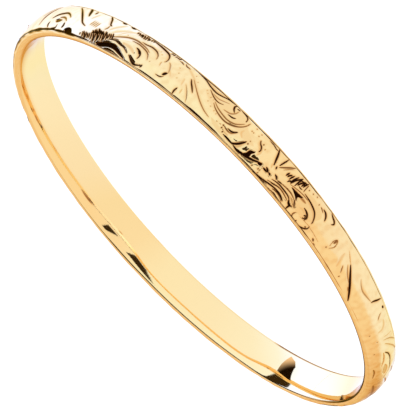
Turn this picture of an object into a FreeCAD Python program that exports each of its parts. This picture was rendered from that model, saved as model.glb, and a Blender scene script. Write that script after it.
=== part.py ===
"""Slim solid bangle: a court-section bar bent round and closed by a soldered butt joint.

The ring lies on one rim. +Z is its axis, z = 0 is the plane it rests on, and the origin is the
ring's centre in that plane. Lengths are in millimetres, angles in degrees.
"""
import FreeCAD
import Part
import Sketcher
import math
import os

PARTS_FOLDER = "parts"
SHEET = "dimensions"
TOUCHING = 1e-6                 # faces that meet may be this far apart, or share this volume
RELATIVE_TOLERANCE = 1e-3

# Driving dimensions.
DRIVING = {
    "inner_diameter": 63.5,     # clear opening, at the crown of the inner face
    "band_width": 5.2,          # height of the ring, rim to rim
    "rim_thickness": 1.03,      # level rim between the two domed faces
    "outer_crown": 0.70,        # how far the outer face domes out at mid width
    "inner_crown": 0.38,        # how far the comfort-fit inner face domes in at mid width
    "seam_width": 0.12,         # solder in the butt joint, along the middle of the wall
    "seam_azimuth": 152.0,      # where the joint is, anticlockwise from +X
}

# Dimensions that follow from them.
DERIVED = {
    "inner_rim_radius": "=inner_diameter / 2 + inner_crown",
    "outer_rim_radius": "=inner_rim_radius + rim_thickness",
    "outer_arc_radius": "=(band_width ^ 2 / 4 + outer_crown ^ 2) / (2 * outer_crown)",
    "inner_arc_radius": "=(band_width ^ 2 / 4 + inner_crown ^ 2) / (2 * inner_crown)",
    "wall_middle_radius": "=(inner_rim_radius + outer_rim_radius) / 2",
    "seam_sweep": "=seam_width / wall_middle_radius * 180 / pi",
    "band_sweep": "=360 - seam_sweep",
    "seam_turn": "=seam_azimuth",
    "band_turn": "=seam_azimuth - 180",
}

doc = FreeCAD.newDocument("bangle")


def make_sheet():
    """One row per dimension: its name in column A and its value, under that alias, in column B."""
    sheet = doc.addObject("Spreadsheet::Sheet", SHEET)
    for row, (alias, value) in enumerate({**DRIVING, **DERIVED}.items(), start=1):
        sheet.set(f"A{row}", alias)
        sheet.set(f"B{row}", str(value))
        sheet.setAlias(f"B{row}", alias)
    doc.recompute()
    return sheet


def origin_feature(body, role):
    """The origin plane or axis of this body that has this role."""
    for feature in body.Origin.OriginFeatures:
        if feature.Role == role:
            return feature
    raise ValueError(f"{body.Label} has no origin feature {role}")


def sketch_court_section(body, sheet):
    """The wall's section in the XZ plane: two level rims and two domed faces."""
    sketch = body.newObject("Sketcher::SketchObject", f"{body.Name}_section")
    sketch.AttachmentSupport = [(origin_feature(body, "XZ_Plane"), "")]
    sketch.MapMode = "FlatFace"

    low_inner = FreeCAD.Vector(sheet.inner_rim_radius, 0, 0)
    low_outer = FreeCAD.Vector(sheet.outer_rim_radius, 0, 0)
    rise = FreeCAD.Vector(0, sheet.band_width, 0)
    outer_crown = low_outer + rise / 2 + FreeCAD.Vector(sheet.outer_crown, 0, 0)
    inner_crown = low_inner + rise / 2 - FreeCAD.Vector(sheet.inner_crown, 0, 0)

    low_rim = sketch.addGeometry(Part.LineSegment(low_inner, low_outer))
    outer_face = sketch.addGeometry(Part.Arc(low_outer, outer_crown, low_outer + rise))
    high_rim = sketch.addGeometry(Part.LineSegment(low_outer + rise, low_inner + rise))
    inner_face = sketch.addGeometry(Part.Arc(low_inner + rise, inner_crown, low_inner))

    first, last = 1, 2          # the two ends of a line or an arc
    axis, centre = -1, 1        # the sketch's level axis, and its start at the origin

    for edge, following in ((low_rim, outer_face), (outer_face, high_rim),
                            (high_rim, inner_face), (inner_face, low_rim)):
        sketch.addConstraint(Sketcher.Constraint("Coincident", edge, last, following, first))
    sketch.addConstraint(Sketcher.Constraint("Horizontal", low_rim))
    sketch.addConstraint(Sketcher.Constraint("Horizontal", high_rim))
    sketch.addConstraint(Sketcher.Constraint("Vertical", low_rim, last, high_rim, first))
    sketch.addConstraint(Sketcher.Constraint("Vertical", low_rim, first, high_rim, last))
    sketch.addConstraint(Sketcher.Constraint("PointOnObject", low_rim, first, axis))

    bound = {
        "inner_rim_radius": ("DistanceX", axis, centre, low_rim, first, sheet.inner_rim_radius),
        "rim_thickness": ("DistanceX", low_rim, first, low_rim, last, sheet.rim_thickness),
        "band_width": ("DistanceY", low_rim, last, high_rim, first, sheet.band_width),
        "outer_arc_radius": ("Radius", outer_face, sheet.outer_arc_radius),
        "inner_arc_radius": ("Radius", inner_face, sheet.inner_arc_radius),
    }
    for alias, terms in bound.items():
        index = sketch.addConstraint(Sketcher.Constraint(*terms))
        sketch.renameConstraint(index, alias)
        sketch.setExpression(f"Constraints.{alias}", f"{SHEET}.{alias}")
    return sketch


def make_ring_piece(label, sheet, sweep, turn):
    """A body of the court section, swept by one sheet angle and turned about Z by another."""
    body = doc.addObject("PartDesign::Body", label)
    body.Label = label
    sketch = sketch_court_section(body, sheet)

    revolution = body.newObject("PartDesign::Revolution", f"{label}_revolution")
    revolution.Profile = sketch
    revolution.ReferenceAxis = (origin_feature(body, "Z_Axis"), [""])
    revolution.Midplane = True
    revolution.Angle = getattr(sheet, sweep)
    revolution.setExpression("Angle", f"{SHEET}.{sweep}")
    sketch.Visibility = False
    doc.recompute()

    body.Placement = FreeCAD.Placement(
        FreeCAD.Vector(0, 0, 0),
        FreeCAD.Rotation(FreeCAD.Vector(0, 0, 1), getattr(sheet, turn)),
    )
    body.setExpression("Placement.Rotation.Angle", f"{SHEET}.{turn}")
    doc.recompute()
    return body


def check_document(pieces):
    """Stop on a failed feature, or on a piece that isn't one valid solid."""
    for item in doc.Objects:
        if "Invalid" in item.State or "Error" in item.State:
            raise RuntimeError(f"{item.Label}: {item.State}")
    for piece in pieces:
        shape = piece.Shape
        if shape.isNull() or not shape.isValid() or len(shape.Solids) != 1:
            raise RuntimeError(f"{piece.Label} isn't one valid solid")
        print(f"{piece.Label}: {shape.Volume:.4f} mm3")


def check_joint(band, seam, sheet):
    """The solder meets the band face to face, and together they close the ring."""
    overlap = band.Shape.common(seam.Shape).Volume
    gap = band.Shape.distToShape(seam.Shape)[0]
    seam_share = seam.Shape.Volume / (band.Shape.Volume + seam.Shape.Volume)
    closed = math.isclose(seam_share, sheet.seam_sweep / 360, rel_tol=RELATIVE_TOLERANCE)
    if overlap > TOUCHING or gap > TOUCHING or not closed:
        raise RuntimeError(f"butt joint: overlap {overlap}, gap {gap}, share {seam_share}")


def main():
    sheet = make_sheet()
    band = make_ring_piece("band", sheet, "band_sweep", "band_turn")
    seam = make_ring_piece("solder_seam", sheet, "seam_sweep", "seam_turn")
    check_document([band, seam])
    check_joint(band, seam, sheet)

    os.makedirs(PARTS_FOLDER, exist_ok=True)
    for piece in (band, seam):
        piece.Shape.exportStep(os.path.join(PARTS_FOLDER, f"{piece.Label}.step"))


main()
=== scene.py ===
"""Looks of the slim gold bangle: hand-engraved scroll foliage outside, polished plain inside.

The engraving is laid out on the outer face unrolled flat: `a` is degrees round the ring from the
middle of the side nearest the camera, anticlockwise seen from above, and `z` is millimetres up
from the lower rim.
"""
import bpy
import math
import numpy as np
from mathutils import Matrix, Vector


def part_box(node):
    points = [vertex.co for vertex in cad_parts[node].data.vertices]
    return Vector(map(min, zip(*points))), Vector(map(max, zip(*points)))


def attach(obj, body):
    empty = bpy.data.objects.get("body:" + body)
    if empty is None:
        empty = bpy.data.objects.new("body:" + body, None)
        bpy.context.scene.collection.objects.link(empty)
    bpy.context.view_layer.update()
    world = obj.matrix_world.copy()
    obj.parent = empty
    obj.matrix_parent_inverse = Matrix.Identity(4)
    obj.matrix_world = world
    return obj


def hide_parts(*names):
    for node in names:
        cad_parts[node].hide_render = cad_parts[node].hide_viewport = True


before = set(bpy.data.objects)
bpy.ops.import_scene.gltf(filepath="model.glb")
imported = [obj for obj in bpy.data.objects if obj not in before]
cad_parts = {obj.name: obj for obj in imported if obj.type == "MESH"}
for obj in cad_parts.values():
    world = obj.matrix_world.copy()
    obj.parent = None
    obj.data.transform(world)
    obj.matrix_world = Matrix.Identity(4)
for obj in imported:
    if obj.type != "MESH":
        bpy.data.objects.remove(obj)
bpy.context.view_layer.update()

MM = 0.001

# -------- sizes in millimetres; the overall ones are read from the frame
low_corner, high_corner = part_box("band")
WIDTH = (high_corner.z - low_corner.z) / MM  # rim to rim
CROWN_RADIUS = (high_corner.x - low_corner.x) / 2 / MM
RIM_THICKNESS = 1.03
OUTER_CROWN = 0.70
INNER_CROWN = 0.38
OUTER_RIM_RADIUS = CROWN_RADIUS - OUTER_CROWN
INNER_RIM_RADIUS = OUTER_RIM_RADIUS - RIM_THICKNESS
RING_CENTRE = Vector((0, 0, WIDTH / 2 * MM))

COLUMNS = 2640  # fine columns round the engraved face
COARSE = 3  # fine columns per column of the plain inside
OUTER_ROWS = 84
INNER_ROWS = 60
FILLET_ROWS = 5
OUTER_FILLET = 0.14
WORN_FILLET = 0.50  # the outer edge where it has rubbed away
INNER_FILLET = 0.19
# Where the points across the upper rim are, from its inner edge (0) to its outer one (1).
RIM_SHARES = (0.05, 0.10, 0.16, 0.24, 0.34, 0.44, 0.55, 0.68, 0.80, 0.92)
SEAM_WIDTH = 0.12
SEAM_SUNK = 0.012  # the softer solder polishes away a little


# -------- camera
CAMERA_DISTANCE = 2.0
CAMERA_ELEVATION = math.radians(18.14)
CAMERA_ROLL = math.radians(-133.1)
FRAME_WIDTH_AT_RING = 55.1 * MM  # what the square frame spans at the ring
AIM_RIGHT = -0.14 * MM  # where it points, from the ring's centre
AIM_UP = -0.34 * MM


def add_object(name, data):
    thing = bpy.data.objects.new(name, data)
    bpy.context.scene.collection.objects.link(thing)
    return thing


def make_camera():
    """A long lens, level with neither rim, rolled so that the ring runs corner to corner."""
    elevation, roll = CAMERA_ELEVATION, CAMERA_ROLL
    away = Vector((0, -math.cos(elevation), math.sin(elevation)))
    level = Vector((1, 0, 0))
    upright = Vector((0, math.sin(elevation), math.cos(elevation)))
    right = level * math.cos(roll) + upright * math.sin(roll)
    up = upright * math.cos(roll) - level * math.sin(roll)

    data = bpy.data.cameras.new("camera")
    data.lens = data.sensor_width * CAMERA_DISTANCE / FRAME_WIDTH_AT_RING
    camera = add_object("camera", data)
    turn = Matrix((right, up, away)).transposed()
    aim = RING_CENTRE + level * AIM_RIGHT + upright * AIM_UP
    camera.matrix_world = Matrix.Translation(aim + away * CAMERA_DISTANCE) @ turn.to_4x4()
    bpy.context.scene.camera = camera


# -------- section of the band
def domed_face(z, rim_radius, crown, outward):
    """Radius and tilt of a domed face at each height; tilt is 0 at mid width, positive above."""
    bend = (WIDTH ** 2 / 4 + crown ** 2) / (2 * crown)
    drop = bend - np.sqrt(bend ** 2 - (z - WIDTH / 2) ** 2)
    return rim_radius + outward * (crown - drop), np.arcsin((z - WIDTH / 2) / bend)


def face_section(rim_radius, crown, outward, fillet, rows):
    """Points and normals (radial, up) from the lower rim to the upper one, rounded at both edges."""
    _, edge_tilt = domed_face(WIDTH, rim_radius, crown, outward)
    turn = math.pi / 2 - edge_tilt
    reach = fillet * math.tan(turn / 2)  # from the sharp corner to where the fillet ends
    start = reach * math.cos(edge_tilt)
    z = np.linspace(start, WIDTH - start, rows)
    radius, tilt = domed_face(z, rim_radius, crown, outward)
    points = np.stack([radius, z], -1)
    normals = np.stack([outward * np.cos(tilt), np.sin(tilt)], -1)

    angles = edge_tilt + turn * np.arange(1, FILLET_ROWS + 1) / FILLET_ROWS
    centre = points[-1] - fillet * normals[-1]
    high_normals = np.stack([outward * np.cos(angles), np.sin(angles)], -1)
    high = centre + fillet * high_normals
    flip = np.array([1, -1])
    low = (high * flip + np.array([0, WIDTH]))[::-1]
    low_normals = (high_normals * flip)[::-1]
    return np.vstack([low, points, high]), np.vstack([low_normals, normals, high_normals])


# Where hand polishing left the inside a little steeper or flatter: azimuth `a`, then degrees.
POLISHING_TILT = (
    (0, -0.6), (40, 0.4), (80, -5), (98, -9), (112, -9), (119, -4), (132, -2.4), (140, -1.8),
    (148, -1), (155, 0), (162, 1), (168, 2), (174, 1.6), (178, 0.3), (181, -2.4), (186, -4),
    (195, -3.6), (207, -4.2), (213, -4.4), (217, -2.8), (219, -0.8), (221, 1.8), (224, 3.8), (228, 2.7),
    (232, 2), (236, 1.2), (246, 0), (262, -0.4), (300, -1.2), (330, 0.2),
)
POLISHING_BLEND = np.linspace(-2.5, 2.5, 11)  # degrees that each tilt is averaged over
POLISHING_FOOT = 0.6  # how far below mid width the waves begin
POLISHING_EASE = 0.8  # how far up they take to reach that tilt
POLISHING_ROLL = 0.018  # how fast the face turns over towards its rim
ROLL_START = 1  # from this far above mid width


def from_front(radians):
    """The azimuth `a`, from 0 to 360."""
    return (np.degrees(radians) + 90) % 360


def polishing_wave(radians, z):
    """How far out the inner face's upper half stands, in millimetres."""
    place, tilt = np.array(POLISHING_TILT).T
    a = from_front(radians)
    smooth = np.mean([np.interp((a + shift) % 360, place, tilt, period=360)
                      for shift in POLISHING_BLEND], axis=0)
    height = np.clip(z - WIDTH / 2, -POLISHING_FOOT, None) + POLISHING_FOOT
    roll = POLISHING_ROLL * np.clip(z - WIDTH / 2 - ROLL_START, 0, None) ** 3
    return np.tan(np.radians(smooth)) * height ** 2 / (height + POLISHING_EASE) + roll


def share_at(radians, table):
    """A value that runs straight between the table's azimuths `a`, in degrees."""
    places, values = np.array(table).T
    return np.interp(from_front(radians), places % 360, values, period=360)


def spaced(radians, relief):
    """The relief's depth, and its tarnish with painted shade, at these azimuths, between its own columns.
    """
    share = from_front(radians) / 360 * COLUMNS
    before = np.floor(share).astype(int)
    part = share - before
    return [layer[:, before % COLUMNS] * (1 - part) + layer[:, (before + 1) % COLUMNS] * part
            for layer in relief]


# How far the outer edge is rubbed round, then how dark the inside's lower edge, the line along the
# upper rim, that rim's inner corner and the rim itself are: azimuth `a`, then a share of 1. The lower
# edge's dark is painted shadow, and the inner corner's is painted reflection.
WORN = ((-125, 0), (-100, 1), (-55, 1), (-36, 0))
# Painted shadow: the inside's lower edge is painted dark where the contact shadow under the ring would
# reflect.
LOW_EDGE = (
    (160, 0), (200, 0.1), (218, 0.15), (221, 0.7), (230, 0.6), (262, 0.56), (285, 0),
)
RIM_LINE = (
    (-70, 0.1), (-55, 0.5), (0, 0.78), (40, 0.72), (70, 0.25), (110, 0), (180, 0.2), (230, 0.2),
    (240, 0),
)
# Painted reflection: the rim's inner corner is painted dark where its rounded edge reflects the dark roof.
RIM_CORNER = (
    (-125, 0.2), (-100, 0.9), (-50, 0.9), (-20, 0.8), (40, 0.7), (85, 0.4), (110, 0), (230, 0),
)
RIM_PATINA = (
    (-125, 0.1), (-95, 0.3), (-55, 0.26), (-20, 0.12), (90, 0.06), (170, 0.12), (234, 0.1),
    (240, 0.3),
)
LOW_EDGE_TOP, LOW_EDGE_FADE = 0.34, 0.12  # millimetres up the face
RIM_LINE_AT, RIM_LINE_HALF = 0.34, 0.09  # shares of the way across the rim
RIM_CORNER_END, RIM_CORNER_FADE = 0.19, 0.1
RIM_CORNER_DROP = 0.1  # how far down the edge its corner is dark
RIM_SPREAD = 9  # how much the mottling changes across the rim

# Short dark marks painted inside as reflections of dark things: azimuth `a`, height, half length in
# degrees, half height in millimetres, darkness.
DARK_REFLECTION_MARKS = (
    (158.4, 4.1, 2.0, 0.11, 0.62), (122.0, 4.62, 1.3, 0.09, 0.42), (116.0, 4.78, 5.5, 0.06, 0.3),
    (127.6, 4.45, 0.6, 0.16, 0.38), (130.8, 4.5, 1.4, 0.1, 0.5), (142.3, 4.15, 1.2, 0.07, 0.3),
    (170.7, 3.45, 0.7, 0.07, 0.45),
)


def outer_section(radians):
    """Radius, height and normals of the outer face, a row up the section and a column per azimuth."""
    worn = share_at(radians, WORN)
    crisp = face_section(OUTER_RIM_RADIUS, OUTER_CROWN, 1, OUTER_FILLET, OUTER_ROWS)
    rubbed = face_section(OUTER_RIM_RADIUS, OUTER_CROWN, 1, WORN_FILLET, OUTER_ROWS)
    points, normals = (first[:, :, None] * (1 - worn) + second[:, :, None] * worn
                       for first, second in zip(crisp, rubbed))
    return points[:, 0], points[:, 1], normals[:, 0], normals[:, 1]


def inner_section(radians):
    """The same for the inner face with the upper rim after it, and each row's share of the rim."""
    points, normals = face_section(INNER_RIM_RADIUS, INNER_CROWN, -1, INNER_FILLET, INNER_ROWS)
    rim_end = face_section(OUTER_RIM_RADIUS, OUTER_CROWN, 1, WORN_FILLET, 2)[0][-1]
    share = np.array(RIM_SHARES)[:, None]
    points = np.vstack([points, points[-1] * (1 - share) + rim_end * share])
    normals = np.vstack([normals, np.broadcast_to([0.0, 1.0], (len(share), 2))])
    share = np.concatenate([np.zeros(len(points) - len(share)), share[:, 0]])[:, None]
    wave = polishing_wave(radians, points[:, 1:2]) * (1 - share)
    finish = RIM_WAVE * mottle(radians, RIM_SPREAD * share, *RIM_WAVES) * (share > 0)
    return points[:, 0:1] + wave, points[:, 1:2] - finish, normals[:, 0:1], normals[:, 1:2], share


def inner_patina_and_shade(radians, height, share):
    """Darkness inside: painted shadow along the inner face's lower edge, painted reflections in short
    marks and at the rim's inner corner, a dark line along the rim, and mottled patina on it.
    """
    low = smooth_step((LOW_EDGE_TOP - height) / LOW_EDGE_FADE) * share_at(radians, LOW_EDGE) * (share == 0)
    line = smooth_step(1.5 - np.abs(share - RIM_LINE_AT) / RIM_LINE_HALF) * share_at(radians, RIM_LINE)
    corner = smooth_step((RIM_CORNER_END - share) / RIM_CORNER_FADE) * share_at(radians, RIM_CORNER)
    patina = mottle(radians, RIM_SPREAD * share, *RIM_PATCHES) * share_at(radians, RIM_PATINA)
    marks = 0 * radians * height
    for a, z, half_length, half_height, dark in DARK_REFLECTION_MARKS:
        gap = np.hypot((from_front(radians) - a) / half_length, (height - z) / half_height)
        marks = np.maximum(marks, dark * smooth_step(1.6 - gap) * (share == 0))
    corner = corner * (height > WIDTH - RIM_CORNER_DROP)
    on_rim = np.maximum(line, patina) * (share > 0)
    return np.maximum(np.maximum(low, marks), np.maximum(corner, on_rim))


def make_ring_piece(node, slot_name, colours, start, sweep, columns, relief, shrink=0.0):
    """One sweep of the section, from one azimuth through an angle, with its two ends closed."""
    fine = start + sweep * np.arange(columns + 1) / columns
    coarse = fine[::COARSE]

    def place(radians, radius, height):
        return np.stack([radius * np.cos(radians), radius * np.sin(radians), height + 0 * radians], -1)

    depth, tarnish_and_shade = spaced(fine, relief)
    depth = depth + shrink
    radius, height, normal_out, normal_up = outer_section(fine)
    outer_xyz = place(fine, radius - depth * normal_out, height - depth * normal_up)
    radius, height, normal_out, normal_up, share = inner_section(coarse)
    inner_xyz = place(coarse, radius - shrink * normal_out, height - shrink * normal_up)
    patina_and_shade_inside = inner_patina_and_shade(coarse, height, share)

    outer_rows, fine_columns = outer_xyz.shape[:2]
    inner_rows, coarse_columns = inner_xyz.shape[:2]
    vertices = np.vstack([outer_xyz.reshape(-1, 3), inner_xyz.reshape(-1, 3)]) * MM
    outer_index = np.arange(outer_rows * fine_columns).reshape(outer_rows, fine_columns)
    inner_index = np.arange(inner_rows * coarse_columns).reshape(inner_rows, coarse_columns)
    inner_index += outer_index.size

    def quads(index):
        corners = (index[:-1, :-1], index[:-1, 1:], index[1:, 1:], index[1:, :-1])
        return np.stack(corners, -1).reshape(-1, 4).tolist()

    faces = quads(outer_index) + quads(inner_index[:, ::-1])
    for column in range(coarse_columns - 1):
        span = slice(column * COARSE, column * COARSE + COARSE + 1)
        pair = inner_index[:, column:column + 2]
        faces.append([*pair[-1, ::-1].tolist(), *outer_index[-1, span].tolist()])
        faces.append([*pair[0].tolist(), *outer_index[0, span][::-1].tolist()])
    faces.append([*outer_index[::-1, 0].tolist(), *inner_index[:, 0].tolist()])
    faces.append([*outer_index[:, -1].tolist(), *inner_index[::-1, -1].tolist()])

    mesh = bpy.data.meshes.new(f"{node}_engraved")
    mesh.from_pydata(vertices.tolist(), [], faces)
    mesh.validate()
    mesh.shade_smooth()
    ends = {*outer_index[:, 0].tolist(), *inner_index[:, 0].tolist(),
            *outer_index[:, -1].tolist(), *inner_index[:, -1].tolist()}
    edges = np.zeros(len(mesh.edges) * 2, int)
    mesh.edges.foreach_get("vertices", edges)
    sharp = np.isin(edges.reshape(-1, 2), list(ends)).all(1)
    mesh.attributes.new("sharp_edge", "BOOLEAN", "EDGE").data.foreach_set("value", sharp)
    # The attribute holds patina and tarnish together with painted shade, painted shadow and painted
    # reflections.
    attribute = mesh.attributes.new("tarnish_and_shade", "FLOAT", "POINT")
    values = np.concatenate([tarnish_and_shade.ravel(), patina_and_shade_inside.ravel()])
    attribute.data.foreach_set("value", values.astype(np.float32))

    piece = add_object(f"{node}_engraved", mesh)
    mesh.materials.append(gold_material(slot_name, colours))
    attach(piece, "root")
    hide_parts(node)


def make_ring():
    """The band, and the line of solder that closes it, as wide as its node."""
    low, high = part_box("solder_seam")
    seam_azimuth = math.atan2(low.y + high.y, low.x + high.x)
    seam_sweep = SEAM_WIDTH / (INNER_RIM_RADIUS + RIM_THICKNESS / 2)
    relief = engraving()
    make_ring_piece("band", "gold", GOLD,
                    seam_azimuth + seam_sweep / 2, 2 * math.pi - seam_sweep, COLUMNS, relief)
    make_ring_piece("solder_seam", "gold_solder", SOLDER,
                    seam_azimuth - seam_sweep / 2, seam_sweep, COARSE, relief, shrink=SEAM_SUNK)


# -------- engraving tools
MM_PER_DEGREE = math.radians(1) * (CROWN_RADIUS - OUTER_CROWN / 3)
SAMPLE = 0.12  # spacing of the points along a stroke
CUT_DEPTH = 0.11
SCOOP_DEPTH = 0.05
RECESS_DEPTH = 0.22
RECESS_WALL = 0.14
HATCH_DEPTH = 0.16
TIP = 0.3  # width at a stroke's ends, as a share of its middle's
TAPER = 0.6  # under 1, most of a stroke is nearly full width
LEAN_REACH = 1.5  # how far a cut's gentle side spreads for its lean
STEEP_REACH = 1.25  # how far its steep side does, in half widths
# Painted shade: a cut's dark bottom is patina with painted shade of its walls, the brown round it residue
# with painted shade, and its gentle side painted shade that deepens down the slope.
LINE_REACH = 1.65  # where the dark of its bottom ends, in half widths
RESIDUE_AND_SHADE_REACH = 0.34  # how far the brown shading round a cut spreads
RESIDUE_AND_SHADE_DARK = 0.2
GENTLE_DARK = 0.44  # darkness of the gentle side
WANDER, WANDER_SEED = 0.07, 7  # how far a repeat of a stroke strays
PLANISHING = 0.045  # height of the hammer's soft facets
GRAIN = 0.006
RIM_WAVE = 0.012
# Unevenness: the longest and shortest wave in millimetres, and the seed of its random draws.
FACETS = (9.0, 2.0, 11)
GRAINS = (1.1, 0.35, 12)
PATCHES = (5.0, 0.7, 13)
RIM_WAVES = (3.0, 0.8, 31)
RIM_PATCHES = (2.5, 0.6, 17)
WAVES = 36
WAVE_SPREAD = 17  # the size of that many waves' sum
# The dull patches at the rubbed end: azimuth `a`, then how heavy, or the height of their middle.
PATINA = (
    (-120, 0), (-110, 0.8), (-98, 0.86), (-90, 0.7), (-82, 0.36), (-74, 0.26), (-60, 0.12),
    (-45, 0.04), (-20, 0),
)
PATINA_CENTRE = (
    (-112, 4.4), (-98, 3.8), (-92, 3.5), (-86, 3.8), (-80, 4.2), (-70, 4.4), (-50, 4.2),
)
PATINA_HALF = 1


def cut(width, dark, *points, lean=0.0, depth=CUT_DEPTH):
    """A V cut tapering at both ends; lean widens its left slope, or its right one if negative."""
    return dict(kind="cut", width=width, dark=dark, points=points, lean=lean, depth=depth)


def scoop(width, dark, *points, depth=SCOOP_DEPTH):
    """A shallow rounded furrow."""
    return dict(kind="scoop", width=width, dark=dark, points=points, lean=0.0, depth=depth)


def recess(dark, *points, depth=RECESS_DEPTH):
    """Ground cut away inside a closed outline."""
    return dict(kind="recess", width=RECESS_WALL, dark=dark, points=points, lean=0.0, depth=depth)


def pit(radius, dark, *places):
    """Punched dots, each a very short cut."""
    return [cut(2.4 * radius, dark, (a - 0.1, z), (a + 0.1, z)) for a, z in places]


def hatch(count, width, path, half_lengths, slant):
    """Short cuts side by side along a path, each crossing it at a slant, no two quite alike."""
    centres = smooth_path(path, closed=False)
    strokes = []
    for i in range(count):
        share = i / (count - 1)
        a, z = centres[round(share * (len(centres) - 1))]
        half = np.interp(share, np.linspace(0, 1, len(half_lengths)), half_lengths)
        half *= 1 + 0.25 * math.sin(5.1 * i)
        tilt = slant + 0.15 * math.sin(3.7 * i)
        strokes.append(cut(width, 1.0, (a - half * tilt / MM_PER_DEGREE, z - half),
                           (a + 0.35 * half * tilt / MM_PER_DEGREE, z),
                           (a + half * tilt / MM_PER_DEGREE, z + half), depth=HATCH_DEPTH))
    return strokes


def smooth_path(points, closed):
    """Evenly spaced points of a Catmull-Rom curve through these, in degrees and millimetres."""
    scale = np.array([MM_PER_DEGREE, 1])
    knots = np.array(points, float) * scale
    if closed:
        knots = np.vstack([knots[-1:], knots, knots[:2]])
    else:
        knots = np.vstack([2 * knots[:1] - knots[1:2], knots, 2 * knots[-1:] - knots[-2:-1]])
    pieces = []
    for before, start, finish, after in zip(knots, knots[1:], knots[2:], knots[3:]):
        steps = max(2, math.ceil(np.linalg.norm(finish - start) / SAMPLE))
        t = (np.arange(steps) / steps)[:, None]
        pieces.append(0.5 * (2 * start + (finish - before) * t
                             + (2 * before - 5 * start + 4 * finish - after) * t ** 2
                             + (3 * start - before - 3 * finish + after) * t ** 3))
    pieces.append(knots[-2:-1])
    return np.vstack(pieces) / scale


def nearest_on_path(x, z, path):
    """Distance to the path, side of it (+1 left) and share of the way along, for each point."""
    start, step = path[:-1], np.diff(path, axis=0)
    length = np.maximum((step ** 2).sum(-1), 1e-12)
    to_x, to_z = x[..., None] - start[:, 0], z[..., None] - start[:, 1]
    along = np.clip((to_x * step[:, 0] + to_z * step[:, 1]) / length, 0, 1)
    gap = np.hypot(to_x - along * step[:, 0], to_z - along * step[:, 1])
    best = gap.argmin(-1)
    pick = np.ogrid[tuple(slice(n) for n in best.shape)] + [best]
    side = np.sign(step[best, 0] * to_z[tuple(pick)] - step[best, 1] * to_x[tuple(pick)])
    return gap[tuple(pick)], side, (best + along[tuple(pick)]) / len(step)


def inside_outline(x, z, path):
    """True where a point is inside the closed path."""
    inside = np.zeros(x.shape, bool)
    for (x0, z0), (x1, z1) in zip(path, path[1:]):
        if z0 != z1:
            crosses = (z0 > z) != (z1 > z)
            inside ^= crosses & (x < x0 + (z - z0) * (x1 - x0) / (z1 - z0))
    return inside


def smooth_step(value):
    """Eased from 0 to 1; 1.5 - gap / half gives a line that fades out at 1.5 half widths."""
    value = np.clip(value, 0, 1)
    return value * value * (3 - 2 * value)


def stroke_profile(stroke, x, z, path):
    """Depth and darkness of one stroke at each point; the darkness is patina in its hollow together with
    painted shade there, and painted shade down a cut's gentle side and in furrows.
    """
    gap, side, along = nearest_on_path(x, z, path)
    if stroke["kind"] == "recess":
        inward = np.where(inside_outline(x, z, path), gap, -gap)
        share = smooth_step(0.5 + inward / stroke["width"])
        return stroke["depth"] * share, stroke["dark"] * share
    taper = TIP + (1 - TIP) * np.sin(math.pi * along) ** TAPER
    half = stroke["width"] / 2 * taper
    if stroke["kind"] == "scoop":
        share = smooth_step(1 - gap / (1.5 * half))
        return stroke["depth"] * taper * share, stroke["dark"] * share
    lean = stroke["lean"]
    gentle = (side * lean > 0)
    reach = np.where(gentle, half + LEAN_REACH * abs(lean) * taper, half * STEEP_REACH)
    slope = np.clip(1 - gap / reach, 0, 1)
    # Painted shade at the bottom and down the gentle slope, with patina and residue in and beside the cut.
    line = smooth_step(LINE_REACH - gap / half)
    shade = RESIDUE_AND_SHADE_DARK * smooth_step(1 - (gap - half) / RESIDUE_AND_SHADE_REACH)
    dark = np.maximum(np.maximum(line, shade), GENTLE_DARK * slope * gentle)
    return stroke["depth"] * taper * slope, stroke["dark"] * dark


def add_stroke(relief, stroke, turn, chance):
    """Press one stroke, turned round the ring, into the relief's depth and its tarnish with painted shade.
    """
    columns, heights, depth, tarnish_and_shade = relief
    points = np.array(stroke["points"], float) + [turn, 0]
    if chance is not None:
        points += chance.normal(0, WANDER, 2) / [MM_PER_DEGREE, 1]
    path = smooth_path(points, closed=stroke["kind"] == "recess") * [MM_PER_DEGREE, 1]
    reach = stroke["width"] + LEAN_REACH * abs(stroke["lean"]) + RESIDUE_AND_SHADE_REACH
    first = math.floor(((path[:, 0].min() - reach) / MM_PER_DEGREE) / columns)
    last = math.ceil(((path[:, 0].max() + reach) / MM_PER_DEGREE) / columns)
    x = np.arange(first, last + 1) * columns * MM_PER_DEGREE
    rows = np.flatnonzero((heights > path[:, 1].min() - reach) & (heights < path[:, 1].max() + reach))
    grid_x, grid_z = np.meshgrid(x, heights[rows])
    new_depth, new_tarnish_and_shade = stroke_profile(stroke, grid_x, grid_z, path)
    where = np.ix_(rows, np.arange(first, last + 1) % depth.shape[1])
    depth[where] = np.maximum(depth[where], new_depth)
    tarnish_and_shade[where] = np.maximum(tarnish_and_shade[where], new_tarnish_and_shade)


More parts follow.
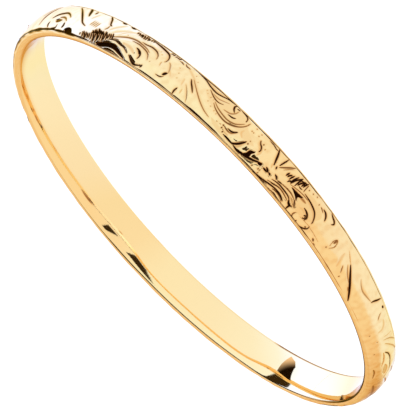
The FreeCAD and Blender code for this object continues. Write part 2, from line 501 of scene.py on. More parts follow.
# -------- the scrolls
# The first two units make up the pattern, which comes again every 134 degrees. The third fills the
# stretch where it was joined up.
ACANTHUS = [
    # the long cut that opens the unit
    cut(0.3, 1, (-41.7, 5.05), (-40.2, 4.55), (-38.5, 4), (-36.5, 3.35), (-33.9, 2.35), lean=0.3),
    cut(0.14, 0.4, (-34.2, 2.45), (-32.5, 1.9), (-31, 1.4)),
    cut(0.2, 0.55, (-37.3, 3.85), (-35.6, 3.5), (-34.2, 3.05), (-33.4, 2.7), lean=-0.2),
    cut(0.15, 0.6, (-39.2, 4.5), (-38.2, 4.2)),
    cut(0.15, 0.75, (-33.8, 4.1), (-33.2, 3.7), (-32.7, 3.35)),
    scoop(0.6, 0.25, (-31.8, 4.1), (-30.9, 3), (-30.6, 2.2)),
    cut(0.13, 0.7, (-27, 3.65), (-27.6, 3), (-27.4, 2.3), (-26.9, 2.05), (-26.4, 2.6), (-26.6, 3.4)),
    cut(0.3, 0.7, (-26.8, 2.75), (-27, 2.15)),
    cut(0.15, 0.6, (-24.4, 5), (-23.6, 4.9)),
    cut(0.2, 0.75, (-23.3, 4.8), (-22.6, 4.6)),
    cut(0.11, 0.45, (-24, 4.35), (-21.5, 4.2), (-19, 4.15), (-16.6, 4.3)),
    cut(0.24, 0.9, (-23.1, 1.5), (-23.6, 1.1), (-23.2, 0.75), (-22.5, 0.6), (-21.5, 0.35), lean=0.25),
    cut(0.22, 1, (-21.3, 2), (-20.9, 1.45), (-20.2, 1.1), (-19.3, 1), lean=0.3),
    cut(0.18, 0.7, (-19.7, 1.45), (-18.9, 1.2), (-18.4, 1.15)),
    # the first curl and its eye
    cut(0.2, 0.95, (-19.7, 3.7), (-19.4, 3.2), (-18.7, 2.65), (-17.9, 2.3), (-16.5, 2.05), (-15, 1.9),
        (-13.5, 1.82), lean=0.45),
    cut(0.22, 1, (-17.9, 4.15), (-17.95, 3.75), (-17.4, 3.4), (-16.6, 3.2), (-15.8, 3.15), lean=0.35),
    cut(0.16, 1, (-17.1, 4.1), (-17.5, 4.1), (-17.6, 3.85), (-17.2, 3.65), (-17.1, 3.9)),
    scoop(0.5, 0.25, (-16.9, 3.75), (-16, 3.5), (-15, 3.6)),
    cut(0.18, 0.95, (-19.9, 4.1), (-19.95, 4.5), (-19.3, 4.85), (-18.2, 5.1)),
    cut(0.18, 0.9, (-19.5, 4.5), (-19.2, 4.6)),
    cut(0.2, 0.7, (-15.4, 5.05), (-15.1, 4.75), (-15.3, 4.35)),
    # the fan of ribs over the shell
    cut(0.28, 1, (-13.1, 5), (-13.05, 4.5), (-12.5, 4.35), (-12, 4.05), lean=0.15),
    cut(0.2, 1, (-13.1, 4.5), (-13.6, 4.3)),
    cut(0.18, 0.95, (-12.3, 4.2), (-11.4, 3.87), (-9.6, 3.75), (-7.6, 3.77), (-6, 4), lean=0.22),
    cut(0.2, 0.95, (-11.3, 4.8), (-9.8, 4.5), (-8.2, 4.48), (-6.2, 4.68), (-4, 4.98), (-1.6, 5.12),
        lean=0.2),
    cut(0.17, 0.85, (-11.2, 4.95), (-10.4, 4.7), (-9, 4.62), (-7.6, 4.75)),
    cut(0.16, 0.8, (-11.9, 4.3), (-10.4, 4.1), (-8.9, 4), (-7.6, 4.15), (-5.4, 4.5), lean=0.2),
    cut(0.16, 0.9, (-7.9, 4.1), (-7.2, 4.25), (-6.3, 4.4)),
    cut(0.14, 0.7, (-10, 5.15), (-8.5, 5.02), (-6.8, 5.15)),
    cut(0.18, 1, (-14.2, 4.2), (-13.7, 3.95), (-12.9, 3.5)),
    scoop(0.35, 0.4, (-13.6, 4.15), (-12.6, 3.85), (-11.5, 3.65)),
    cut(0.16, 0.75, (-12.9, 3.55), (-11.2, 3.3), (-9.4, 3.33), (-8, 3.5), lean=0.2),
    cut(0.18, 0.95, (-8.3, 3.45), (-7.7, 3.5), (-7.1, 3.62)),
    recess(1, (-13.4, 3.45), (-12.3, 3.1), (-11.2, 2.85), (-10.3, 2.65), (-12, 2.5), (-13.9, 2.42),
        (-13, 2.9)),
    scoop(0.55, 0.6, (-15.2, 2.6), (-14, 2.62), (-13, 2.7)),
    cut(0.13, 0.7, (-15.2, 2.1), (-13, 2.15), (-11.2, 2.35), (-9.6, 2.6)),
    cut(0.16, 0.8, (-12.95, 1.85), (-12.85, 1.2), (-12.9, 0.6)),
    cut(0.16, 0.9, (-12.4, 1.75), (-11.9, 1.85), (-11.3, 1.8)),
    *hatch(9, 0.23, [(-12.4, 0.95), (-10.9, 1.4), (-9.4, 1.72), (-7.6, 1.9)],
        [0.5, 0.74, 0.76, 0.6, 0.34], 0.3),
    cut(0.2, 1, (-9.3, 2.1), (-8.9, 2.4), (-8.7, 2.7)),
    cut(0.2, 0.95, (-12.4, 0.62), (-11.5, 0.85), (-10.4, 1.1)),
    # the rays under the shell
    cut(0.24, 1, (-6.7, 3.65), (-6.3, 3.38), (-5.7, 3.28)),
    cut(0.22, 0.95, (-4.95, 2.75), (-4.6, 2.35)),
    cut(0.19, 0.8, (-5.1, 2.25), (-6, 1.65), (-7.1, 0.9), (-8, 0.4), lean=-0.22),
    cut(0.14, 0.6, (-6.2, 2), (-7.2, 1.2), (-7.9, 0.75)),
    cut(0.22, 0.95, (-4.95, 2), (-5.15, 1.3), (-5.5, 0.3), lean=0.2),
    cut(0.27, 1, (-3.95, 2.55), (-3.5, 1.9), (-3.05, 1.2), (-2.6, 0.6), (-2.35, 0.32), lean=0.2),
    cut(0.16, 0.95, (-2.6, 0.6), (-1.8, 0.67), (-0.8, 0.52), (0.6, 0.5)),
    scoop(0.4, 0.3, (-4, 3.1), (-3.7, 2.6), (-4.1, 1.9)),
    cut(0.24, 1, (-5.1, 3.88), (-4.4, 3.72)),
    cut(0.25, 1, (-4.3, 3.85), (-3.8, 3.65), (-3.1, 3.48)),
    cut(0.25, 1, (-4, 3.92), (-2.7, 3.85)),
    *pit(0.11, 0.7, (-2.7, 4.85), (-2.6, 4.4), (-0.6, 4.7), (-2.1, 4.42)),
    # the ground below the rim, cut back a little, dulled and given painted orange-brown shade
    recess(0.17, (-0.5, 4.55), (2.5, 4.95), (7, 5), (12, 4.6), (13.5, 4), (10.5, 4.2), (6.5, 4.6),
        (3, 4.55), depth=0.03),
    recess(0.14, (2.2, 2.9), (4.8, 3.2), (7, 2.9), (9.5, 3.2), (13, 3.3), (16.5, 2.6), (19, 1.6),
        (16, 0.6), (11, 0.45), (6.8, 0.6), (6, 1.6), (4, 2.2), depth=0.02),
    recess(0.13, (-20, 1.9), (-16.5, 1.2), (-13, 1.6), (-9, 2.8), (-10, 3.6), (-14.5, 4.3), (-18.5, 4),
        (-19.8, 3), depth=0.02),
    # the three lobes
    recess(1, (-2.05, 3.95), (-1.2, 4.05), (-1.1, 3.8), (-1.6, 3.62), (-2.05, 3.68)),
    cut(0.3, 1, (-2, 3.7), (-1, 3.86), (0, 4.15), (1.5, 4.45), (2.8, 4.62), (4.2, 4.77), (5.7, 4.65),
        lean=0.3),
    recess(1, (1.35, 4.4), (2.85, 4.62), (2.35, 4.1), (2.2, 3.6), (1.5, 3.35), (0.95, 3.3), (1.3, 3.75)),
    cut(0.31, 1, (4.05, 3.1), (4.5, 3.6), (5.1, 4.1), (5.9, 4.52), (6.4, 4.62), lean=0.35),
    cut(0.19, 1, (6, 4.65), (7.5, 4.6), (9, 4.55)),
    scoop(0.45, 0.38, (4.2, 3.9), (4.7, 4.4), (5.3, 4.6)),
    scoop(0.4, 0.3, (0.3, 3.4), (0.1, 2.8), (0.5, 2.1)),
    cut(0.2, 1, (6.9, 3.05), (7.4, 3.38), (8.2, 3.6), (9.1, 3.6), lean=0.2),
    cut(0.2, 0.6, (7.1, 3.3), (7.9, 3.78), (9, 3.87), (10.4, 3.65), lean=0.25),
    scoop(0.3, 0.4, (8, 4.25), (9.3, 4.25), (10.2, 4)),
    *pit(0.12, 0.85, (3.5, 3.18), (10.3, 4.1), (10.35, 3.7), (9.5, 4.4), (1.9, 1.6), (0.9, 1.65)),
    *pit(0.1, 0.6, (3.5, 2.7), (-0.1, 2), (4.4, 1.5), (4.9, 1.5), (3, 1.3), (4.5, 0.7), (2.8, 0.8)),
    cut(0.18, 0.95, (0.5, 2.9), (0.5, 2.5), (0.9, 2.1), (1.5, 1.9), (1.95, 1.55), lean=0.3),
    scoop(0.45, 0.3, (5.4, 3.2), (6.3, 2.7), (6.2, 2.2)),
    # the great scroll
    cut(0.22, 0.75, (6.4, 0.85), (6.6, 1.5), (7.2, 2.1), (8.3, 2.7), (9.8, 3.1), (11.3, 3.2), (13, 3.05),
        (14.5, 2.75), (15.6, 2.35), lean=-0.25),
    cut(0.2, 0.7, (7.2, 1.5), (8, 2.1), (9, 2.55), (10.5, 2.8), (12, 2.75), (14, 2.5), (15.6, 2.1),
        lean=-0.3),
    cut(0.18, 0.95, (7.4, 1.2), (7.6, 0.65), (8.4, 0.42), (9.8, 0.35)),
    cut(0.2, 0.95, (9.5, 1.85), (10.2, 2.1), (11.4, 2.2)),
    cut(0.26, 0.55, (10.2, 0.7), (10.4, 1.3), (11.2, 1.85), (12.9, 2.1), lean=-0.3),
    cut(0.24, 1, (10.8, 1.32), (11.4, 1), (11.7, 0.6), (11.5, 0.35)),
    cut(0.18, 0.9, (10.1, 0.5), (11, 0.6)),
    cut(0.19, 0.85, (13.8, 1.6), (14.6, 1.8), (15.5, 1.85), (16.8, 1.65), (18.4, 1.2), lean=-0.2),
    cut(0.22, 0.5, (13, 0.85), (14.4, 1.2), (15.6, 1.42), (17.2, 1.35), lean=-0.2),
    cut(0.25, 1, (11.8, 0.3), (14, 0.45), (15.5, 0.75), (17, 0.95), (19, 0.8), (20.8, 0.5), (23, 0.33),
        lean=-0.35),
    *pit(0.09, 0.45, (13.4, 3.28), (14.2, 3.15), (15.5, 3), (16.8, 2.7), (17, 2.1), (16.1, 2.05),
        (18.1, 1.9), (18.8, 1.6), (16.9, 1.95), (12, 3.9), (11, 3.85)),
    *pit(0.11, 0.75, (-34.4, 4.5), (-26.3, 3.88), (-17.7, 1.15), (-16.2, 0.65), (-15, 0.85), (-13.7, 1),
        (-16.8, 5)),
    cut(0.16, 0.65, (14.1, 4.25), (16, 4), (18, 3.5), (20, 2.8), (22, 2), (22.9, 1.65), lean=-0.3),
]

SHELL = [
    cut(0.16, 0.5, (20.5, 4.85), (21.3, 4.1), (22.5, 3.3), (23.3, 2.9), lean=0.2),
    cut(0.19, 1, (20.8, 3.25), (21.8, 2.7), (22.6, 2.3), (23.3, 1.85), lean=-0.3),
    cut(0.2, 1, (24.4, 5), (24.5, 4.5), (24.3, 4), lean=-0.3),
    scoop(0.3, 0.35, (23, 4.4), (23.2, 3.7)),
    scoop(0.4, 0.25, (24, 3.4), (24.5, 2.4)),
    scoop(0.4, 0.25, (27.4, 3.35), (28.6, 2.75)),
    scoop(0.5, 0.25, (22, 1.8), (24.5, 1.1), (26, 0.8)),
    *pit(0.09, 0.45, (21.7, 1.6), (26, 3), (26.5, 2.3), (27.3, 1.6), (23.1, 1), (34, 3.4), (33, 1.6),
        (33.8, 1.3), (34.4, 1.42), (42.7, 3.35), (43.8, 1.9)),
    # the bud
    cut(0.14, 0.75, (30.8, 4.3), (29.8, 4.3), (29.1, 4.15), (28.7, 3.85)),
    cut(0.36, 1, (29.3, 3.85), (28.95, 3.6), (28.55, 3.3)),
    cut(0.22, 0.5, (28.4, 3.3), (28.7, 2.75), (29.5, 2.1), (30.1, 1.9), lean=0.25),
    cut(0.16, 0.45, (31.4, 3.1), (31.6, 2.5)),
    cut(0.24, 0.9, (31.05, 2.25), (30.85, 1.9), (31.2, 1.3), (32, 0.88), (33.5, 0.66), (36, 0.5),
        (38.2, 0.4), lean=0.4),
    cut(0.18, 0.8, (25.5, 0.75), (26.6, 0.75), (27.2, 0.5)),
    cut(0.18, 0.8, (27.4, 0.85), (28.2, 0.7), (28.8, 0.75)),
    *hatch(5, 0.2, [(29.2, 0.5), (30.3, 0.52), (31.6, 0.5)], [0.18, 0.16, 0.14], 0.4),
    # the second curl
    cut(0.18, 0.85, (33.1, 2.65), (33.4, 2.15), (34.2, 1.75), (35.2, 1.55), (36.6, 1.5), (38, 1.65),
        (39.3, 1.65), lean=0.35),
    cut(0.18, 0.75, (34.8, 3.45), (35.3, 3), (36.1, 2.6), (37.5, 2.35), (39.5, 2.2), (41.6, 2.27),
        lean=0.3),
    cut(0.22, 0.65, (35.7, 2.45), (37, 2.13), (39, 1.95), (41, 1.9), (43, 2.12), (45, 2.65), (47.2, 3.35),
        lean=0.3),
    cut(0.26, 1, (37.15, 4.05), (37.05, 3.6), (37.5, 3.2), (38.3, 2.95), (39.1, 2.84), lean=0.3),
    cut(0.16, 0.95, (37.55, 3.45), (37.9, 3.2), (38.3, 3.1)),
    scoop(0.6, 0.3, (38.6, 3.75), (40.5, 3.3), (43.2, 3.2)),
    cut(0.24, 0.95, (35, 4.35), (35.2, 4.75)),
    cut(0.22, 1, (35.2, 4.5), (36, 4.7), (37, 4.87), (38, 4.75), (39, 4.42), (39.7, 4.2), lean=-0.25),
    cut(0.15, 1, (40.5, 4.15), (42, 3.76), (43.5, 3.65), (45.2, 3.5), (46.5, 3.62), (47.6, 3.85),
        lean=-0.15),
    cut(0.13, 0.95, (44.8, 3.15), (46, 3.35), (47.2, 3.7)),
    recess(1, (40.3, 5), (42, 4.5), (43.5, 4.15), (45, 4), (46.5, 4.15), (48, 4.4), (50.3, 4.9),
        (49.6, 5.08), (48, 4.98), (46.2, 4.68), (44.3, 4.62), (42.6, 4.82)),
    cut(0.16, 0.4, (42, 5.08), (44.2, 4.97), (46.5, 5.05)),
    # the ground between the shells, hatched dark
    *hatch(17, 0.24, [(47, 3.15), (48.6, 3.55), (50.6, 4), (52.8, 4.35), (54.6, 4.55), (56, 4.6)],
        [0.4, 0.5, 0.8, 0.6, 0.35, 0.38], -0.45),
    *hatch(8, 0.22, [(49.8, 3.45), (51.5, 3.4), (53.2, 3.8)], [0.26, 0.34, 0.25], -0.7),
    *hatch(10, 0.22, [(37.6, 0.6), (39.2, 0.72), (41, 0.8), (42.6, 0.75)],
        [0.1, 0.3, 0.42, 0.16], -0.5),
    scoop(0.5, 0.22, (44, 1), (46, 1.9), (47.8, 2.7)),
    scoop(0.5, 0.25, (46.4, 0.6), (47.8, 1.5), (49.2, 2.6)),
    scoop(0.45, 0.25, (42.6, 0.9), (44.4, 1.5), (45.4, 2.2)),
    cut(0.34, 0.9, (44.2, 0.4), (45.7, 0.36)),
    cut(0.34, 0.9, (47.4, 0.4), (48.8, 0.36)),
    # the leaves beyond it
    cut(0.25, 1, (49.7, 1.85), (50.4, 1.7), (51.2, 1.2), (52, 0.72), (53.1, 0.32), lean=0.3),
    cut(0.2, 0.75, (50.2, 1.9), (50.1, 2.4), (50.5, 2.8)),
    *[cut(0.15, 0.62, (a - 0.3, 2.15), (a, 2.7), (a + 0.2, 3.1)) for a in (53.4, 54.1, 54.8, 55.5)],
    scoop(0.45, 0.35, (57, 2.1), (56.7, 1.4), (56.4, 0.8)),
    cut(0.24, 0.95, (56.8, 3.45), (58.5, 3.12), (60, 2.45), (61.5, 1.8), (63.2, 1.15), (65.4, 0.5),
        lean=-0.25),
    cut(0.42, 1, (58.6, 1.8), (59.6, 1.2), (60.5, 0.65), (61.5, 0.25), lean=0.25),
    cut(0.34, 0.8, (57.8, 1.05), (58.4, 0.45)),
    *pit(0.18, 0.8, (56.8, 4.62)),
    recess(1, (60.2, 5), (61.8, 5.06), (63.4, 5), (63.1, 4.6), (61.6, 4.35), (60.7, 4.5)),
    # the third curl
    cut(0.36, 0.9, (65, 4.6), (64.65, 4.25), (64.8, 3.85)),
    cut(0.28, 0.7, (64.6, 3.55), (65.8, 3.15), (67, 3.02), (68.3, 3.15), lean=0.3),
    recess(0.75, (66.6, 3.5), (67.6, 3.9), (69.1, 3.95), (69.3, 3.6), (68.2, 3.35), depth=0.14),
    cut(0.26, 0.95, (67.5, 4.3), (67.8, 4.75), (69.2, 4.93), (70.7, 5)),
    cut(0.28, 0.85, (64.1, 2.85), (65.5, 2.4), (67.2, 2.15), (69, 2.4), (70.5, 2.8), (71.9, 3.4),
        lean=0.3),
    cut(0.34, 0.85, (71.6, 4.75), (72.1, 4.4), (71.8, 4)),
    cut(0.2, 0.6, (73.5, 0.9), (75.5, 1.9), (77, 3.2), (77.6, 4.4), lean=0.4),
    cut(0.16, 0.5, (75, 0.7), (76.8, 1.5), (78.6, 2.9), lean=0.3),
    # the leaf that closes the unit
    cut(0.22, 0.6, (82.5, 0.5), (85.4, 1), (88.4, 1.9), (90.2, 3.1), (90.7, 4.4), lean=0.35),
    cut(0.2, 0.6, (87, 0.6), (89.4, 1.1), (91.4, 2), (92.6, 3.2), lean=0.3),
    cut(0.22, 0.5, (85.6, 4.3), (87, 3.7), (88.6, 3.4)),
]

TENDRIL = [
    # the plainer leaf where the pattern was joined up
    cut(0.22, 0.4, (-70.5, -0.1), (-66.5, 0.65), (-63.7, 1.5), (-61.4, 2.4), lean=0.35),
    cut(0.24, 0.45, (-64.6, 0.1), (-62.2, 0.9), (-60.7, 1.7), (-59.8, 2.5), lean=0.35),
    cut(0.2, 0.35, (-60, 0.6), (-59.5, 1.5), (-58.9, 2.3), lean=0.3),
    scoop(0.6, 0.3, (-56, 3.1), (-56, 2.2), (-55, 1.65), (-53.5, 1.5)),
    cut(0.2, 0.6, (-52.4, 2.4), (-51.6, 1.95), (-51.2, 1.45)),
    cut(0.34, 0.95, (-51, 0.62), (-50.2, 0.8)),
    cut(0.28, 1, (-46.2, 2.3), (-46.6, 1.8), (-47.4, 1.15), (-48.1, 0.5), lean=-0.25),
    cut(0.24, 0.5, (-45.8, 2.3), (-44, 2.52), (-42, 2.7), (-40.3, 2.5), (-38.9, 2.1), lean=-0.3),
    # the curl beyond it
    cut(0.24, 0.95, (-77.3, 3), (-76.2, 2.75), (-75.2, 2.2), (-73.4, 1.9), (-71, 1.74), (-69, 1.76),
        (-66.6, 2.05), (-64.6, 2.7), lean=-0.2),
    recess(0.36, (-75.2, 2.95), (-73.5, 3.35), (-71.6, 3.2), (-70.2, 2.9), (-71.5, 2.5), (-73, 2.42),
        (-74.5, 2.6), depth=0.1),
    cut(0.2, 0.4, (-69.8, 3.55), (-68.4, 3.15), (-66.5, 2.95), (-64.4, 3), lean=0.3),
    cut(0.55, 0.5, (-86.5, 0), (-83, 0.5), (-79.5, 0.9), (-75.5, 1.2), lean=0.25),
    cut(0.24, 0.55, (-86, 1.6), (-82.5, 2), (-79.5, 2.4), (-78.2, 2.8), lean=0.3),
    scoop(1.1, 0.66, (-97, 2.6), (-92, 3.3), (-87.5, 4), (-83, 4.3), (-79, 4.6)),
    cut(0.3, 0.6, (-74, 4.9), (-71.5, 4.7), (-69.5, 4.85), lean=-0.2),
    *pit(0.12, 0.7, (-62.8, 4.45), (-58.9, 3.6), (-55.3, 4.4), (-84.4, 4.75), (-81, 3.1), (-79.6, 3.6)),
]

# Each unit, and the degrees that it is turned round by. The turned ones are the repeats.
LAYOUT = ((ACANTHUS, 0), (SHELL, 0), (TENDRIL, 0), (ACANTHUS, 134), (SHELL, 134), (ACANTHUS, 252))

BORDER_LOW = 0.26  # height of the line that frames the pattern
BORDER_HIGH = 0.14  # its distance below the upper rim
BORDER_HALF, BORDER_GROWTH = 0.02, 0.055  # half width, and what a weight of 1 adds to it
BORDER_DEPTH = 0.07
# How heavy and dark the lines beside the two rims are, by azimuth; the heavy dark stretches are painted
# reflection of the dark roof along the upper edge and painted contact shadow along the lower one.
LOW_BORDER = (
    (-125, 0.1), (-60, 0.25), (-40, 0.5), (-10, 0.9), (0, 1.1), (10, 0.9), (22, 1.3), (32, 0.9),
    (40, 1), (48, 0.6), (85, 0.6), (105, 1), (180, 1.2),
)
HIGH_BORDER = (
    (-125, 0.2), (-116, 0.8), (-112, 2.4), (-100, 2), (-92, 0), (-60, 0), (-42, 0.15), (-30, 0.4),
    (-15, 0.7), (0, 0.6), (8, 0.5), (14, 0.7), (18, 1.4), (22, 0.7), (27, 0.5), (31, 0.9), (36, 0.5),
    (42, 0.4), (50, 0.5), (58, 2.2), (70, 2.9), (100, 2.6), (130, 1.3), (180, 1.2),
)


def add_borders(a, z, depth, tarnish_and_shade):
    """The scribed lines beside both rims, which waver; their dark is tarnish in the line with painted
    reflection and painted shadow of the rounded edges, heavier where their table's weight is.
    """
    radians = np.radians(a)
    for height, phase, table in ((BORDER_LOW, 0.4, LOW_BORDER), (WIDTH - BORDER_HIGH, 2.1, HIGH_BORDER)):
        weight = share_at(radians - math.pi / 2, table) * (1 + 0.25 * np.sin(23 * radians + phase)
                                                          + 0.2 * np.sin(67 * radians))
        centre = height + 0.03 * np.sin(7 * radians + phase) + 0.015 * np.sin(19 * radians)
        share = smooth_step(1.4 - np.abs(z - centre) / (BORDER_HALF + BORDER_GROWTH * weight))
        dark = share * np.minimum(0.5 + 0.6 * weight, 1) * smooth_step(weight / 0.2)
        depth[:] = np.maximum(depth, BORDER_DEPTH * share * np.minimum(weight, 1))
        tarnish_and_shade[:] = np.maximum(tarnish_and_shade, dark)


def mottle(radians, z, longest, shortest, seed):
    """Uneven patches between 0 and 1, a few millimetres across, that close up round the ring."""
    chance = np.random.default_rng(seed)
    total = 0 * radians * z
    for _ in range(WAVES):
        length = longest * (shortest / longest) ** chance.random()
        heading, phase = chance.uniform(0, 2 * math.pi, 2)
        turns = round(2 * math.pi * CROWN_RADIUS * math.cos(heading) / length)
        total = total + np.sin(turns * radians + 2 * math.pi * math.sin(heading) / length * z + phase)
    return np.clip(0.5 + total / WAVE_SPREAD, 0, 1)


def add_finish(a, z, depth, tarnish_and_shade):
    """The faint unevenness that hammer and buff leave, and the patina where the buff didn't reach."""
    radians = np.radians(a - 90)
    depth += PLANISHING * mottle(radians, z, *FACETS) + GRAIN * mottle(radians, z, *GRAINS)
    patches = mottle(radians, z, *PATCHES)
    off_centre = np.abs(z - share_at(radians, PATINA_CENTRE)) / PATINA_HALF
    where = share_at(radians, PATINA) * smooth_step(1.5 - off_centre)
    patina = 0.12 * patches ** 2 + where * (0.55 + 0.45 * patches)
    tarnish_and_shade[:] = np.maximum(tarnish_and_shade, patina)


def engraving():
    """Depth of the cuts and how dark they are: a row per point up the section, a column per azimuth."""
    section, _ = face_section(OUTER_RIM_RADIUS, OUTER_CROWN, 1, OUTER_FILLET, OUTER_ROWS)
    step = 360 / COLUMNS
    a, z = np.meshgrid(np.arange(COLUMNS) * step, section[:, 1])
    depth, tarnish_and_shade = np.zeros_like(a), np.zeros_like(a)
    relief = (step, z[:, 0], depth, tarnish_and_shade)
    chance = np.random.default_rng(WANDER_SEED)
    for unit, turn in LAYOUT:
        for stroke in unit:
            add_stroke(relief, stroke, turn, chance if turn else None)
    add_borders(a, z, depth, tarnish_and_shade)
    add_finish(a, z, depth, tarnish_and_shade)
    return depth, tarnish_and_shade


# -------- materials
# How much tarnish and painted shade the metal carries, then its red, green and blue.
GOLD = ((0, 0.98, 0.69, 0.33), (0.3, 0.86, 0.47, 0.17), (0.6, 0.4, 0.15, 0.04),
        (0.9, 0.017, 0.004, 0.001))
SOLDER = ((0, 0.97, 0.71, 0.37), (0.3, 0.84, 0.49, 0.19), (0.6, 0.39, 0.16, 0.05),
          (0.9, 0.017, 0.004, 0.001))
GRAZING_TINT = (0.8, 0.59, 0.38, 1)  # the metal seen edge-on is a deeper colour
CLEAN_ROUGHNESS = 0.045
TARNISHED_ROUGHNESS = 0.38
SMEAR_NOISE = (350, 3)  # patches per metre, and their detail
SMEAR_CHANGE = (0.3, 0.7, 0.75, 1.35)  # from this range of the noise to this roughness
SCRATCH_NOISE = (5200, 2)
SCRATCH_HEIGHT = 0.0012 * MM


def gold_material(name, colours):
    """Polished gold that darkens and dulls with its tarnish and painted shade, with fine wear all over."""
    material = bpy.data.materials.new(name)
    material.use_nodes = True
    graph = Nodes(material.node_tree)
    shader = material.node_tree.nodes["Principled BSDF"]
    shader.inputs["Metallic"].default_value = 1
    shader.inputs["Specular Tint"].default_value = GRAZING_TINT
    tarnish_and_shade = graph.new("ShaderNodeAttribute", attribute_name="tarnish_and_shade").outputs["Fac"]
    where = graph.new("ShaderNodeTexCoord").outputs["Object"]
    smears = graph.between(graph.noise(where, *SMEAR_NOISE), *SMEAR_CHANGE)
    scratches = graph.noise(where, *SCRATCH_NOISE)
    graph.feed(shader.inputs["Base Color"], graph.ramp(tarnish_and_shade, colours))
    dulled = graph.between(tarnish_and_shade, 0.0, 1.0, CLEAN_ROUGHNESS, TARNISHED_ROUGHNESS)
    graph.feed(shader.inputs["Roughness"], graph.math("MULTIPLY", dulled, smears))
    bump = graph.new("ShaderNodeBump", ("Distance", SCRATCH_HEIGHT), ("Height", scratches))
    graph.feed(shader.inputs["Normal"], bump.outputs["Normal"])
    return material


# -------- stage
# What the metal sees round it, by azimuth from the camera (positive to the camera's right): pale
# panels in front and on the left, and a bright window behind on the right. Each row is degrees,
# then the light's red, green and blue; one table is below the horizon, one above it.
LOW_TONES = (
    (-180, 0.92, 0.78, 0.6), (-174, 1.03, 1.12, 1.08), (-164, 1.22, 1.76, 2.8), (-152, 1.2, 1.68, 2.6),
    (-140, 1.12, 1.48, 2.05), (-128, 1.05, 1.32, 1.78), (-112, 1.03, 1.21, 1.5), (-80, 1.01, 1.12, 1.3),
    (-55, 1.0, 1.08, 1.22), (-35, 0.99, 1.03, 1.03), (-10, 1.0, 1.04, 1.06), (10, 1.01, 1.14, 1.28),
    (45, 1.01, 1.16, 1.38), (70, 1.02, 1.22, 1.55), (88, 1.03, 1.33, 1.95), (98, 1.06, 1.45, 2.6),
    (106, 1.12, 1.6, 3.3), (125, 1.16, 1.74, 3.7), (145, 1.28, 1.96, 4.4), (160, 1.38, 2.06, 4.3),
    (172, 1.25, 1.8, 2.6), (180, 0.95, 0.82, 0.66),
)
HIGH_TONES = (
    (-180, 1.05, 1.02, 1.0), (-173, 1.0, 0.98, 0.85), (-160, 0.94, 0.84, 0.7), (-140, 0.99, 0.96, 0.88),
    (-115, 1.0, 0.93, 0.79), (-85, 1.0, 0.97, 0.86), (-40, 1.0, 0.96, 0.87), (-12, 1.0, 1.01, 1.0),
    (8, 1.0, 1.17, 1.3), (30, 1.0, 1.19, 1.38), (60, 1.02, 1.24, 1.5), (88, 1.04, 1.3, 1.8),
    (98, 1.06, 1.45, 2.6), (106, 1.12, 1.6, 3.3), (125, 1.16, 1.74, 3.7), (145, 1.28, 1.98, 4.5),
    (168, 1.3, 1.9, 3.4), (180, 1.05, 1.02, 1.0),
)
HORIZON = 0.09  # sine of elevation over which the tables meet
# How far below the horizon they meet: degrees, then sine.
HORIZON_DROP = (
    (-180, 0.3), (-160, 0.29), (-140, 0.22), (-120, 0.15), (-80, 0.09), (-30, 0.02), (0, 0),
    (150, 0), (170, 0.12), (180, 0.3),
)
# The roof is dark on the right, above a height that is lower behind the ring: degrees, then sine.
ROOF_LEFT, ROOF_SOFT = -0.24, 0.04
ROOF_SINE = ((-180, 0.7), (88, 0.7), (102, 0.5), (165, 0.5), (180, 0.7))
# Dark things that stand in that light, in degrees: left and right side at the foot, height of foot
# and top, and how far the two sides lean for each degree up. The first is the gap before the window.
DARK_THINGS = ((89.5, 102.5, 0.3, 60.0, -0.22, 0.1), (-25.2, -17.0, 4.4, 19.5, -0.2, -0.5),
               (-2.5, 6.5, 1.8, 16.0, -0.38, 0.4))
DARK_EDGE = 0.5
DARK_TONE = (0.04, 0.026, 0.01, 1)
BRIGHTEST = 5.0  # no channel of a tone is brighter
TABLE_SIZE = 12
TABLE_GLOW = (1.06, 1.06, 1.06, 1)
# A card stands inside the ring, seen by the metal alone. Its outline is in millimetres, along the
# camera's line of sight and up; its light fades from its lower far corner into black.
CARD_PLANE = -22.4
CARD_OUTLINE = ((22.35, 0.35), (21.5, 0.35), (20.85, 1.05), (20.5, 2.4), (20.15, 3.9), (22.1, 3.58))
CARD_TONE = (1.0, 0.86, 0.8, 1)
CARD_RISE, CARD_FALL = 2.2, 0.8  # of its light, per millimetre away and up
CARD_MIDDLE = (21.6, 2.0)  # where neither counts
CARD_DARK, CARD_BRIGHT = -1.2, 2.6  # where it is black, and where it is full


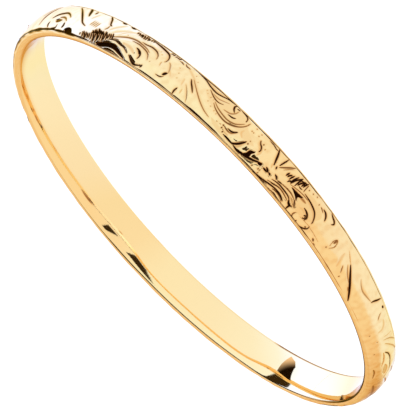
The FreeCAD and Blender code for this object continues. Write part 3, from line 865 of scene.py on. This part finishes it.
class Nodes:
    """Short forms for the nodes that the table, the world and the gold are made of."""

    def __init__(self, tree):
        self.tree = tree

    def feed(self, socket, value):
        if isinstance(value, bpy.types.NodeSocket):
            self.tree.links.new(value, socket)
        else:
            socket.default_value = value

    def new(self, kind, *inputs, **settings):
        """A node with these settings, and with these inputs: each a name or number, and its value."""
        node = self.tree.nodes.new(kind)
        for name, value in settings.items():
            setattr(node, name, value)
        for key, value in inputs:
            self.feed(node.inputs[key], value)
        return node

    def math(self, operation, *values):
        return self.new("ShaderNodeMath", *enumerate(values), operation=operation).outputs[0]

    def between(self, value, low, high, to_low=0.0, to_high=1.0):
        """A value taken from one range to another, eased at both ends and held beyond them."""
        inputs = enumerate((value, low, high, to_low, to_high))
        return self.new("ShaderNodeMapRange", *inputs, interpolation_type="SMOOTHSTEP").outputs[0]

    def mix(self, factor, first, second):
        inputs = ("Factor", factor), ("A", first), ("B", second)
        node = self.new("ShaderNodeMix", *inputs, data_type="RGBA")
        return next(socket for socket in node.outputs if socket.type == "RGBA")

    def noise(self, where, scale, detail):
        inputs = ("Vector", where), ("Scale", scale), ("Detail", detail)
        return self.new("ShaderNodeTexNoise", *inputs).outputs[0]

    def scale(self, colour, factor):
        inputs = (0, colour), ("Scale", factor)
        return self.new("ShaderNodeVectorMath", *inputs, operation="SCALE").outputs["Vector"]

    def parts(self, vector):
        """The x, y and z of a vector."""
        return self.new("ShaderNodeSeparateXYZ", (0, vector)).outputs

    def ramp(self, value, stops):
        """Colours that run straight between the stops: places from 0 to 1, each with its colour."""
        node = self.new("ShaderNodeValToRGB", ("Fac", value))
        elements = node.color_ramp.elements
        while len(elements) < len(stops):
            elements.new(0.5)
        for element, (place, *colour) in zip(elements, sorted(stops)):
            element.position = place
            element.color = (*colour, 1)
        return node.outputs["Color"]

    def round_ramp(self, azimuth, table):
        """The same over azimuth, from rows of degrees and colour."""
        share = self.math("MULTIPLY_ADD", azimuth, 1 / 360, 0.5)
        return self.ramp(share, [((degrees + 180) / 360, *colour) for degrees, *colour in table])

    def tones(self, azimuth, table):
        """The same for colours that may be brighter than 1."""
        dimmed = [(degrees, *(channel / BRIGHTEST for channel in colour)) for degrees, *colour in table]
        return self.scale(self.round_ramp(azimuth, dimmed), BRIGHTEST)

    def sines(self, azimuth, table):
        """The same for one number in place of a colour."""
        return self.round_ramp(azimuth, [(degrees, sine, sine, sine) for degrees, sine in table])

    def azimuth(self, x, y):
        """Degrees round from the camera's side (-Y), positive towards +X."""
        return self.math("DEGREES", self.math("ARCTAN2", x, self.math("MULTIPLY", y, -1.0)))


def glow_dully(piece, colour, roughness, glow):
    """Give a piece a dull surface with light of its own, and hand back its nodes and shader."""
    material = bpy.data.materials.new(piece.name)
    material.use_nodes = True
    shader = material.node_tree.nodes["Principled BSDF"]
    for socket, value in (("Base Color", colour), ("Roughness", roughness), ("Specular IOR Level", 0.0),
                          ("Emission Color", glow), ("Emission Strength", 1.0)):
        shader.inputs[socket].default_value = value
    piece.data.materials.append(material)
    return Nodes(material.node_tree), shader


def make_floor():
    """A lit white table. The metal is lit by the world instead, which goes on below the horizon."""
    bpy.ops.mesh.primitive_plane_add(size=TABLE_SIZE, location=(0, 0, 0))
    floor = bpy.context.object
    floor.name = "floor"
    floor.visible_glossy = False
    glow_dully(floor, (0.2, 0.2, 0.2, 1), 0.8, TABLE_GLOW)


def make_card():
    """A graded card inside the ring, which makes the dark patch on the right of the inner face."""
    mesh = bpy.data.meshes.new("card")
    corners = [(CARD_PLANE * MM, y * MM, z * MM) for y, z in CARD_OUTLINE]
    mesh.from_pydata(corners, [], [tuple(range(len(corners)))])
    card = add_object("card", mesh)
    card.visible_camera = card.visible_diffuse = card.visible_shadow = False
    graph, shader = glow_dully(card, (0.02, 0.012, 0.004, 1), 1.0, CARD_TONE)
    place = graph.parts(graph.new("ShaderNodeNewGeometry").outputs["Position"])
    rise, fall = (graph.math("MULTIPLY_ADD", place[axis], change / MM, -change * middle)
                  for axis, change, middle in zip("YZ", (CARD_RISE, CARD_FALL), CARD_MIDDLE))
    light = graph.between(graph.math("SUBTRACT", rise, fall), CARD_DARK, CARD_BRIGHT)
    graph.feed(shader.inputs["Emission Strength"], light)


def make_world():
    """The light all round, with the dark roof and the dark things in front of it."""
    world = bpy.data.worlds.new("studio")
    world.use_nodes = True
    graph = Nodes(world.node_tree)
    across, along, height = graph.parts(graph.new("ShaderNodeTexCoord").outputs["Generated"])
    azimuth = graph.azimuth(across, along)
    above = graph.between(graph.math("ADD", height, graph.sines(azimuth, HORIZON_DROP)), -HORIZON, HORIZON)
    light = graph.mix(above, graph.tones(azimuth, LOW_TONES), graph.tones(azimuth, HIGH_TONES))
    over = graph.math("SUBTRACT", height, graph.sines(azimuth, ROOF_SINE))
    dark = graph.math("MULTIPLY", graph.between(over, -ROOF_SOFT, ROOF_SOFT),
                      graph.between(across, ROOF_LEFT - ROOF_SOFT, ROOF_LEFT + ROOF_SOFT))
    elevation = graph.math("DEGREES", graph.math("ARCSINE", height))
    for left, right, foot, top, lean_left, lean_right in DARK_THINGS:
        up = graph.math("SUBTRACT", elevation, foot)
        past_left = graph.math("SUBTRACT", azimuth, graph.math("MULTIPLY_ADD", up, lean_left, left))
        before_right = graph.math("SUBTRACT", graph.math("MULTIPLY_ADD", up, lean_right, right), azimuth)
        below_top = graph.math("SUBTRACT", top, elevation)
        thing = 1.0
        for inside in (up, past_left, before_right, below_top):
            thing = graph.math("MULTIPLY", thing, graph.between(inside, -DARK_EDGE, DARK_EDGE))
        dark = graph.math("MAXIMUM", dark, thing)
    background = world.node_tree.nodes["Background"]
    graph.feed(background.inputs["Color"], graph.mix(dark, light, DARK_TONE))
    bpy.context.scene.world = world


make_camera()
make_ring()
make_floor()
make_card()
make_world()
bpy.context.scene.view_settings.view_transform = "Standard"
